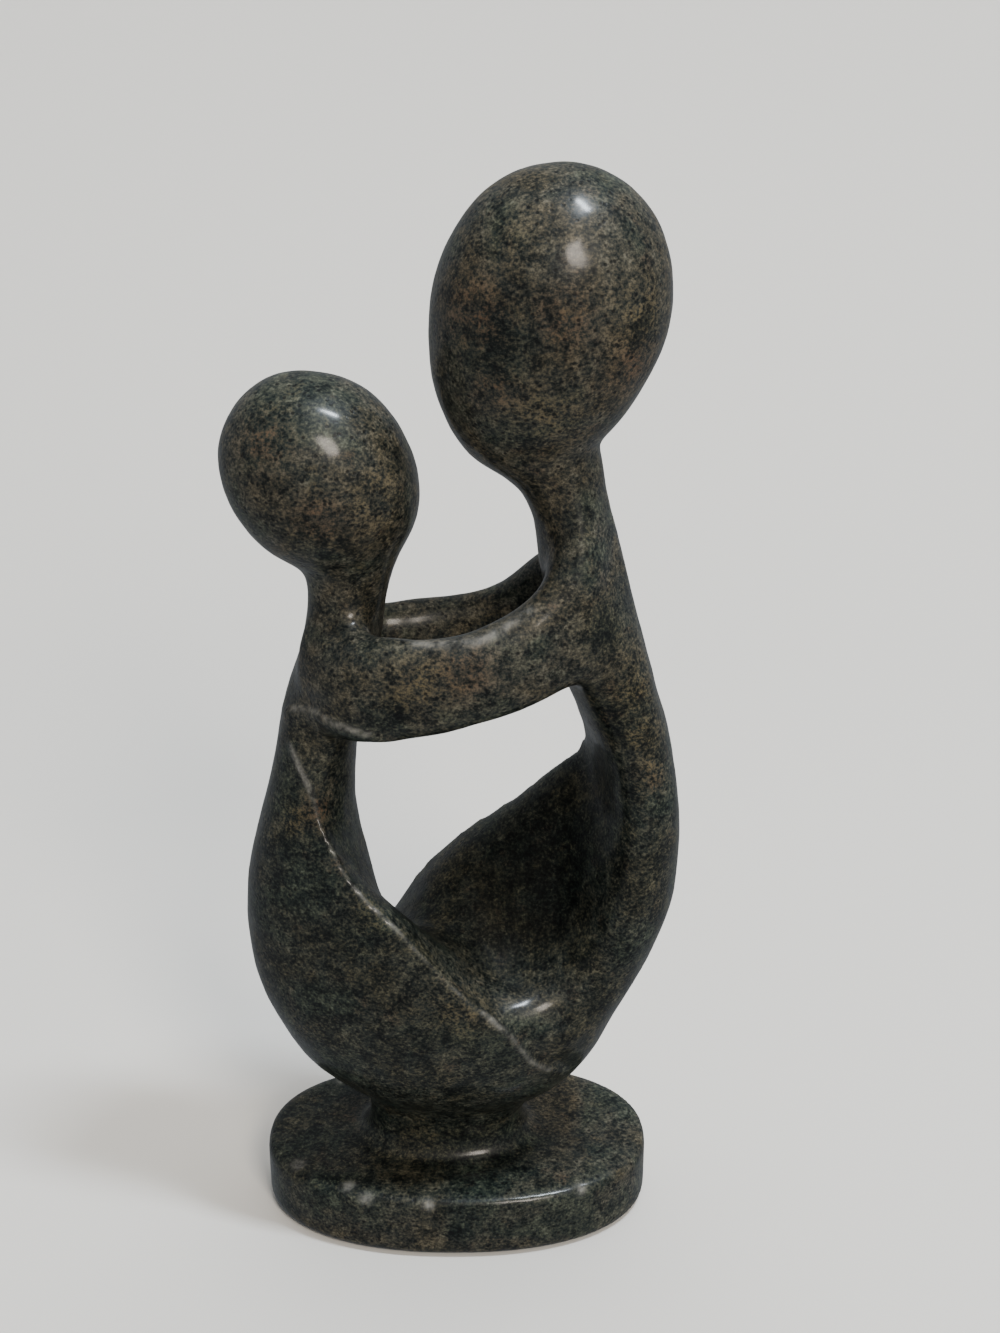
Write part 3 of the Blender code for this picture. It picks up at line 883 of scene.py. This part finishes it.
def sums(tree, operation, first, second):
    """Two values added, multiplied or otherwise worked together."""
    return add(tree, "ShaderNodeMath", {"operation": operation}, i0=first, i1=second).outputs[0]


def blend(tree, share, first, second, kind="MIX"):
    """The first colour, and by its share the second mixed in or multiplied over it."""
    return add(
        tree, "ShaderNodeMix", {"data_type": "RGBA", "blend_type": kind, "clamp_factor": True},
        i0=share, i6=first, i7=second,
    ).outputs[2]


def mottle_group(finish):
    """Soapstone's mottle: fine grains gathered in clumps, with blue-black blots, pits, and red-brown and
    ochre patches. The dark mask tints the ground and feeds the blots, and it also carries painted shade on
    the lap's back wall and at the stem's foot. Where the stone is matt it holds less wax and is darkened, as
    painted shade in the lap's hollow, and the strokes of the tool show. The crest's pale line falls off with
    the square of the distance beside it, and the same pale colour paints a highlight along the arm's top
    edge."""
    group = bpy.data.node_groups.new("soapstone_mottle", "ShaderNodeTree")
    for name in ("Place", "Flow"):
        group.interface.new_socket(name=name, in_out="INPUT", socket_type="NodeSocketVector")
    for name in MASKS:
        group.interface.new_socket(name=name, in_out="INPUT", socket_type="NodeSocketFloat")
    group.interface.new_socket(name="Color", in_out="OUTPUT", socket_type="NodeSocketColor")
    for name in ("Roughness", "Wax", "Height"):
        group.interface.new_socket(name=name, in_out="OUTPUT", socket_type="NodeSocketFloat")
    source = group.nodes.new("NodeGroupInput").outputs
    place = add(group, "ShaderNodeMapping", Vector=source["Place"], Scale=(1000, 1000, 1150)).outputs[0]
    grains = noise(group, place, *PATTERNS["grains"])
    clumps = noise(group, place, *PATTERNS["clumps"])
    zones = noise(group, place, *PATTERNS["zones"])
    blots = noise(group, place, *PATTERNS["blots"])
    patches = noise(group, place, *PATTERNS["patches"])
    scored = noise(group, source["Flow"], *PATTERNS["scored"])
    value = sums(group, "ADD", sums(group, "MULTIPLY", grains, 0.6), sums(group, "MULTIPLY", clumps, 0.4))
    value = sums(group, "SUBTRACT", value, sums(group, "MULTIPLY", source["dark"], 0.05))
    ramp = add(group, "ShaderNodeValToRGB", Fac=stretch(group, value, 0.345, 0.67))
    stops = ramp.color_ramp.elements
    stops[0].position = 0.04
    stops[0].color = (*finish.black, 1)
    stops[1].position = 0.98
    stops[1].color = (*finish.tan, 1)
    for position, colour in ((0.3, finish.green), (0.58, finish.brown)):
        stops.new(position).color = (*colour, 1)
    colour = ramp.outputs["Color"]
    for low, high, tint in ((0.5, 0.62, COOL_TINT), (0.5, 0.38, WARM_TINT)):
        colour = blend(group, stretch(group, zones, low, high, 0, 0.9), colour, tint, "MULTIPLY")
    colour = blend(group, source["dark"], colour, COOL_TINT, "MULTIPLY")
    for mask, paint, low, high in (("rust", finish.rust, 0.6, 0.72), ("ochre", finish.ochre, 0.4, 0.28)):
        own = stretch(group, patches, low, high, 0, 0.3)
        placed = sums(group, "MULTIPLY", source[mask], stretch(group, clumps, 0.42, 0.6, 0.15, 0.85))
        share = sums(group, "MAXIMUM", own, placed)
        share = sums(group, "MULTIPLY", share, stretch(group, grains, 0.42, 0.62))
        colour = blend(group, share, colour, (*paint, 1))
    blot = sums(group, "ADD", blots, sums(group, "MULTIPLY", source["dark"], 0.1))
    between_grains = stretch(group, grains, 0.62, 0.48, 0.4, 1)
    blot = sums(group, "MULTIPLY", stretch(group, blot, 0.52, 0.6), between_grains)
    colour = blend(group, sums(group, "MULTIPLY", blot, 0.85), colour, BLOT_TINT, "MULTIPLY")
    pits = add(group, "ShaderNodeTexVoronoi", Vector=place, Scale=PIT_SCALE).outputs["Distance"]
    pits = stretch(group, pits, 0.27, 0.15)
    colour = blend(group, sums(group, "MULTIPLY", pits, 0.85), colour, (*finish.black, 1))
    stroke = sums(group, "MULTIPLY", source["strokes"], stretch(group, scored, 0.56, 0.46))
    colour = blend(group, sums(group, "MULTIPLY", stroke, 0.6), colour, BLOT_TINT, "MULTIPLY")
    # Painted shade: the lap's hollow and back wall are darkened here.
    colour = blend(group, sums(group, "MULTIPLY", source["matt"], 0.75), colour, HOLLOW_SHADE_TINT, "MULTIPLY")
    across = sums(group, "MULTIPLY", source["beside_crest"], source["beside_crest"])
    line = sums(group, "MULTIPLY", source["crest"], sums(group, "POWER", np.exp(-1 / CREST_LINE**2), across))
    ridge = sums(group, "MAXIMUM", source["ridge"], line)
    ridge = sums(group, "MULTIPLY", ridge, stretch(group, clumps, 0.36, 0.6, 0.15, 0.95))
    # Pale wear on the crest and chips, and a painted highlight along the arm's top edge.
    colour = blend(group, ridge, colour, (*finish.wear_and_highlight_colour, 1))
    rough = sums(group, "ADD", finish.roughness, stretch(group, clumps, 0.3, 0.7, -0.06, 0.08))
    rough = sums(group, "ADD", rough, sums(group, "MULTIPLY", source["matt"], 0.2))
    wax = sums(group, "SUBTRACT", stretch(group, clumps, 0.3, 0.7, 1.15, 0.8), source["matt"])
    wax = sums(group, "MULTIPLY", sums(group, "MAXIMUM", wax, 0.15), finish.wax)
    height = sums(group, "ADD", sums(group, "MULTIPLY", grains, 0.5), sums(group, "MULTIPLY", clumps, 0.5))
    height = sums(group, "SUBTRACT", height, sums(group, "MULTIPLY", pits, 0.5))
    out = group.nodes.new("NodeGroupOutput")
    for name, socket in (("Color", colour), ("Roughness", rough), ("Wax", wax), ("Height", height)):
        group.links.new(socket, out.inputs[name])
    return group


def soapstone(finish):
    """Waxed and polished soapstone."""
    material = bpy.data.materials.new("soapstone")
    material.use_nodes = True
    tree = material.node_tree
    shader = tree.nodes["Principled BSDF"]
    mottle = tree.nodes.new("ShaderNodeGroup")
    mottle.node_tree = mottle_group(finish)
    tree.links.new(tree.nodes.new("ShaderNodeTexCoord").outputs["Object"], mottle.inputs["Place"])
    flow = add(tree, "ShaderNodeAttribute", {"attribute_name": "flow"})
    tree.links.new(flow.outputs["Vector"], mottle.inputs["Flow"])
    for mask in MASKS:
        source = add(tree, "ShaderNodeAttribute", {"attribute_name": mask})
        tree.links.new(source.outputs["Fac"], mottle.inputs[mask])
    bump = add(tree, "ShaderNodeBump", Strength=0.3, Distance=0.0004, Height=mottle.outputs["Height"])
    tree.links.new(mottle.outputs["Color"], shader.inputs["Base Color"])
    tree.links.new(mottle.outputs["Roughness"], shader.inputs["Roughness"])
    tree.links.new(mottle.outputs["Wax"], shader.inputs["Coat Weight"])
    tree.links.new(bump.outputs["Normal"], shader.inputs["Normal"])
    shader.inputs["Specular IOR Level"].default_value = finish.specular
    shader.inputs["Coat Roughness"].default_value = finish.wax_roughness
    shader.inputs["Coat IOR"].default_value = finish.wax_index
    return material


class CARVING_OT_stone(bpy.types.Operator):
    """Carve the mother and child with their plinth, and give the stone its finish"""

    bl_idname = "carving.stone"
    bl_label = "Carve the stone"

    def execute(self, context):
        sizes = context.scene.carving_sizes
        spots, quads = carved_shape(sizes)
        mesh = bpy.data.meshes.new("carved_soapstone")
        mesh.from_pydata(spots.tolist(), [], quads.tolist())
        masks, flow = masks_of(spots, sizes)
        for name, values in masks.items():
            mesh.attributes.new(name, "FLOAT", "POINT").data.foreach_set("value", values.astype(np.float32))
        strokes = mesh.attributes.new("flow", "FLOAT_VECTOR", "POINT")
        strokes.data.foreach_set("vector", flow.astype(np.float32).ravel())
        mesh.shade_smooth()
        mesh.materials.append(soapstone(context.scene.stone_finish))
        stone = bpy.data.objects.new("carved_soapstone", mesh)
        context.scene.collection.objects.link(stone)
        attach(stone, "root")
        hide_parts(NODE)
        return {"FINISHED"}


def lamp(name, power, way, distance, size, colour, mirrored):
    """A soft lamp, wide by high, out along a direction from the carving's middle and facing it. One that
    isn't mirrored lights the stone without showing in its polish."""
    data = bpy.data.lights.new(name, "AREA")
    data.shape = "RECTANGLE"
    data.size, data.size_y = size
    data.energy = power
    data.color = colour
    made = bpy.data.objects.new(name, data)
    way = Vector(way).normalized()
    made.visible_glossy = mirrored
    made.location = Vector(LAMPS_MIDDLE) + way * distance
    made.rotation_euler = way.to_track_quat("Z", "Y").to_euler()
    bpy.context.scene.collection.objects.link(made)


def sweep_surface():
    """A floor that turns up all round in a quarter round, nearest behind the carving: a profile of radius
    and height carried round an upright line in front of it."""
    turn = np.linspace(0, np.pi / 2, 25)
    bend, wall, top, forward = SWEEP
    radius = np.concatenate([[0.001, 0.7], wall - bend * (1 - np.sin(turn)), [wall]])
    height = np.concatenate([[0, 0], bend * (1 - np.cos(turn)), [top]])
    around = angles()
    x = radius[:, None] * np.cos(around)
    y = radius[:, None] * np.sin(around) - forward
    z = np.broadcast_to(height[:, None], x.shape)
    index = np.arange(x.size).reshape(x.shape)
    beside = np.roll(index, -1, axis=1)
    quads = np.stack([index[:-1], index[1:], beside[1:], beside[:-1]], -1).reshape(-1, 4)
    return np.stack([x, y, z], 2).reshape(-1, 3), quads


class CARVING_OT_studio(bpy.types.Operator):
    """Set up the plain pale sweep, the soft lamps and the camera"""

    bl_idname = "carving.studio"
    bl_label = "Set up the studio"

    def execute(self, context):
        studio = context.scene.studio_settings
        spots, quads = sweep_surface()
        mesh = bpy.data.meshes.new("pale_sweep")
        mesh.from_pydata(spots.tolist(), [], quads.tolist())
        mesh.shade_smooth()
        material = bpy.data.materials.new("pale_sweep")
        material.use_nodes = True
        shader = material.node_tree.nodes["Principled BSDF"]
        shader.inputs["Base Color"].default_value = (*studio.sweep, 1)
        shader.inputs["Roughness"].default_value = 0.9
        mesh.materials.append(material)
        sweep = bpy.data.objects.new("pale_sweep", mesh)
        context.scene.collection.objects.link(sweep)
        sweep.visible_glossy = False
        for name, values in LAMPS.items():
            lamp(name, getattr(studio, name), *values)
        world = bpy.data.worlds.new("studio")
        world.use_nodes = True
        background = world.node_tree.nodes["Background"]
        background.inputs["Color"].default_value = WORLD_COLOUR
        background.inputs["Strength"].default_value = WORLD_STRENGTH
        context.scene.world = world
        data = bpy.data.cameras.new("camera")
        data.lens = studio.lens
        data.sensor_width = 36
        camera = bpy.data.objects.new("camera", data)
        camera.location = studio.place
        camera.rotation_euler = (np.pi / 2 - studio.pitch, 0, 0)
        context.scene.collection.objects.link(camera)
        context.scene.camera = camera
        return {"FINISHED"}


class CARVING_PT_panel(bpy.types.Panel):
    """Lists the steps and the values they read"""

    bl_idname = "CARVING_PT_panel"
    bl_label = "Mother and child"
    bl_space_type = "VIEW_3D"
    bl_region_type = "UI"
    bl_category = "Carving"

    def draw(self, context):
        for step in (CARVING_OT_stone, CARVING_OT_studio):
            self.layout.operator(step.bl_idname)
        for group in (context.scene.carving_sizes, context.scene.stone_finish, context.scene.studio_settings):
            box = self.layout.box()
            for name in group.__annotations__:
                box.prop(group, name)


CLASSES = (CarvingSizes, StoneFinish, StudioSettings, CARVING_OT_stone, CARVING_OT_studio, CARVING_PT_panel)
GROUPS = {"carving_sizes": CarvingSizes, "stone_finish": StoneFinish, "studio_settings": StudioSettings}


def register():
    """Adds the classes to Blender, and the settings to its scenes."""
    for kind in CLASSES:
        bpy.utils.register_class(kind)
    for name, kind in GROUPS.items():
        setattr(bpy.types.Scene, name, PointerProperty(type=kind))


def unregister():
    """Takes them out again."""
    for name in GROUPS:
        delattr(bpy.types.Scene, name)
    for kind in reversed(CLASSES):
        bpy.utils.unregister_class(kind)


def main():
    """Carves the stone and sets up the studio."""
    register()
    bpy.ops.carving.stone()
    bpy.ops.carving.studio()


if __name__ == "__main__":
    main()
